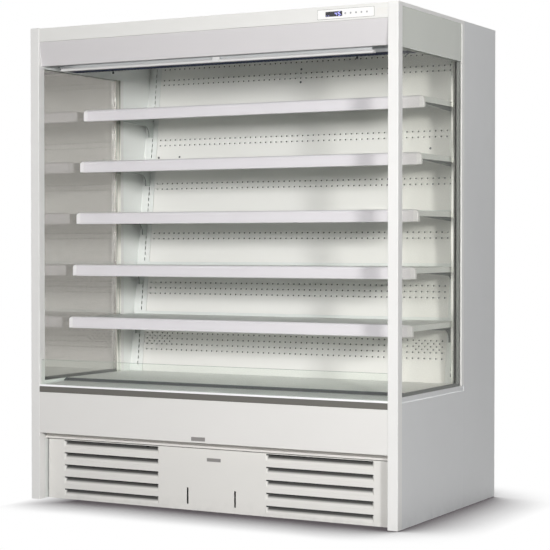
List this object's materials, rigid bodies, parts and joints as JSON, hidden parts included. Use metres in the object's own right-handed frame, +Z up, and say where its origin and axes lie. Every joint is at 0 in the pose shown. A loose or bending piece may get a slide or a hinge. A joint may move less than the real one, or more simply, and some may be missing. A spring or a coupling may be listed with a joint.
{
  "type": "open multideck display fridge",
  "caption": "Tall open-fronted multideck display fridge with five shelves, leaning slotted back, glazed sides, roller night blind, glass riser and louvred plinth over a built-in cooling plant.",
  "frame": {"origin": "centre of the footprint on the floor", "axes": "+X to the customer's right, +Y to the back, +Z up; the open front faces -Y"},
  "size_m": [1.708, 1.006, 2],
  "materials": {
    "chassis_paint": "satin",
    "zinc_steel": "satin",
    "tub_liner": "satin",
    "galvanised_back": "satin",
    "roof_paint": "satin",
    "white_paint": "satin",
    "grey_paint": "satin",
    "side_glass": "clear",
    "seal_rubber": "matte",
    "cover_paint": "satin",
    "liner_paint": "satin",
    "navy_plastic": "matte",
    "lamp_diffuser": "satin",
    "controller_plastic": "satin",
    "blind_cloth": "woven",
    "silver_aluminium": "anodised",
    "shelf_paint": "satin",
    "grille_dark": "satin",
    "riser_glass": "clear",
    "bumper_plastic": "matte",
    "coil_aluminium": "bare",
    "fan_plastic": "matte",
    "compressor_paint": "satin",
    "tray_plastic": "matte",
    "copper_pipe": "bare",
    "box_plastic": "matte",
    "button_plastic": "matte",
    "rail_plastic": "satin"
  },
  "bodies": {
    "cabinet": {"base_frame": "chassis_paint", "levelling_feet": "zinc_steel", "base_tub": "tub_liner", "rear_wall": "galvanised_back", "roof_panel": "roof_paint", "left_side_frame": "white_paint", "right_side_frame": "white_paint", "left_lower_panel": "grey_paint", "right_lower_panel": "grey_paint", "left_rear_panel": "grey_paint", "right_rear_panel": "grey_paint", "left_side_glass": "side_glass", "right_side_glass": "side_glass", "side_glass_seals": "seal_rubber", "canopy_fascia": "white_paint", "canopy_cover": "cover_paint", "ceiling_duct": "liner_paint", "air_outlet_honeycomb": "navy_plastic", "canopy_lamp": "lamp_diffuser", "controller_bezel": "controller_plastic", "blind_brackets": "zinc_steel", "uprights": "liner_paint", "back_panels": "liner_paint", "shelf_brackets": "shelf_paint", "riser_glass": "riser_glass", "riser_profile": "silver_aluminium", "bumper": "bumper_plastic", "front_panel": "white_paint", "evaporator": "coil_aluminium", "evaporator_fan_plate": "zinc_steel", "compressor": "compressor_paint", "condenser": "coil_aluminium", "drip_tray": "tray_plastic", "refrigerant_pipes": "copper_pipe", "electrical_box": "box_plastic"},
    "button_1": {"button_1": "button_plastic"},
    "button_2": {"button_2": "button_plastic"},
    "button_3": {"button_3": "button_plastic"},
    "button_4": {"button_4": "button_plastic"},
    "button_5": {"button_5": "button_plastic"},
    "shelf_1": {"shelf_1": "shelf_paint", "ticket_rail_1": "rail_plastic"},
    "shelf_2": {"shelf_2": "shelf_paint", "ticket_rail_2": "rail_plastic"},
    "shelf_3": {"shelf_3": "shelf_paint", "ticket_rail_3": "rail_plastic"},
    "shelf_4": {"shelf_4": "shelf_paint", "ticket_rail_4": "rail_plastic"},
    "shelf_5": {"shelf_5": "shelf_paint", "ticket_rail_5": "rail_plastic"},
    "blind_bar": {"blind_pull_bar": "silver_aluminium", "blind_fabric": "blind_cloth"},
    "blind_roller": {"blind_roller": "blind_cloth"},
    "evaporator_fan_left": {"evaporator_fan_left": "fan_plastic"},
    "evaporator_fan_right": {"evaporator_fan_right": "fan_plastic"},
    "condenser_fan": {"condenser_fan": "fan_plastic"},
    "plinth": {"plinth_panel": "white_paint"},
    "deck_pan_left": {"deck_pan_left": "shelf_paint"},
    "deck_pan_right": {"deck_pan_right": "shelf_paint"},
    "return_grille": {"return_grille": "grille_dark"}
  },
  "joints": [
    {"name": "blind_pull", "type": "slide", "parent": "cabinet", "child": "blind_bar", "axis": [0, 0, -1], "range_m": [0, 1.2], "stiffness_N_per_m": 15, "springref_m": -1, "deforming": ["blind_fabric"]},
    {"name": "blind_roller_turn", "type": "hinge", "parent": "cabinet", "child": "blind_roller", "pos_m": [0, -0.419, 1.89], "axis": [1, 0, 0], "range_deg": [0, 2450]},
    {"name": "button_1_press", "type": "slide", "parent": "cabinet", "child": "button_1", "axis": [0, 1, 0], "range_m": [0, 0.0006], "stiffness_N_per_m": 400},
    {"name": "button_2_press", "type": "slide", "parent": "cabinet", "child": "button_2", "axis": [0, 1, 0], "range_m": [0, 0.0006], "stiffness_N_per_m": 400},
    {"name": "button_3_press", "type": "slide", "parent": "cabinet", "child": "button_3", "axis": [0, 1, 0], "range_m": [0, 0.0006], "stiffness_N_per_m": 400},
    {"name": "button_4_press", "type": "slide", "parent": "cabinet", "child": "button_4", "axis": [0, 1, 0], "range_m": [0, 0.0006], "stiffness_N_per_m": 400},
    {"name": "button_5_press", "type": "slide", "parent": "cabinet", "child": "button_5", "axis": [0, 1, 0], "range_m": [0, 0.0006], "stiffness_N_per_m": 400},
    {"name": "evaporator_fan_left_spin", "type": "hinge", "parent": "cabinet", "child": "evaporator_fan_left", "pos_m": [-0.38, -0.23713, 0.38607], "axis": [0, -0.788, 0.6157], "continuous": true},
    {"name": "evaporator_fan_right_spin", "type": "hinge", "parent": "cabinet", "child": "evaporator_fan_right", "pos_m": [0.38, -0.23713, 0.38607], "axis": [0, -0.788, 0.6157], "continuous": true},
    {"name": "condenser_fan_spin", "type": "hinge", "parent": "cabinet", "child": "condenser_fan", "pos_m": [0.49, -0.307, 0.153], "axis": [0, -1, 0], "continuous": true},
    {"name": "plinth_off", "type": "slide", "parent": "cabinet", "child": "plinth", "axis": [0, -1, 0], "range_m": [0, 0.12]},
    {"name": "shelf_1_lift", "type": "slide", "parent": "cabinet", "child": "shelf_1", "axis": [0, 0, 1], "range_m": [0, 0.1]},
    {"name": "shelf_2_lift", "type": "slide", "parent": "cabinet", "child": "shelf_2", "axis": [0, 0, 1], "range_m": [0, 0.1]},
    {"name": "shelf_3_lift", "type": "slide", "parent": "cabinet", "child": "shelf_3", "axis": [0, 0, 1], "range_m": [0, 0.1]},
    {"name": "shelf_4_lift", "type": "slide", "parent": "cabinet", "child": "shelf_4", "axis": [0, 0, 1], "range_m": [0, 0.1]},
    {"name": "shelf_5_lift", "type": "slide", "parent": "cabinet", "child": "shelf_5", "axis": [0, 0, 1], "range_m": [0, 0.1]},
    {"name": "deck_pan_left_lift", "type": "slide", "parent": "cabinet", "child": "deck_pan_left", "axis": [0, 0, 1], "range_m": [0, 0.1]},
    {"name": "deck_pan_right_lift", "type": "slide", "parent": "cabinet", "child": "deck_pan_right", "axis": [0, 0, 1], "range_m": [0, 0.1]},
    {"name": "return_grille_lift", "type": "slide", "parent": "cabinet", "child": "return_grille", "axis": [0, 0, 1], "range_m": [0, 0.1]}
  ],
  "couplings": [
    {"joint": "blind_roller_turn", "follows": "blind_pull", "rad_per_m": 35.336}
  ]
}
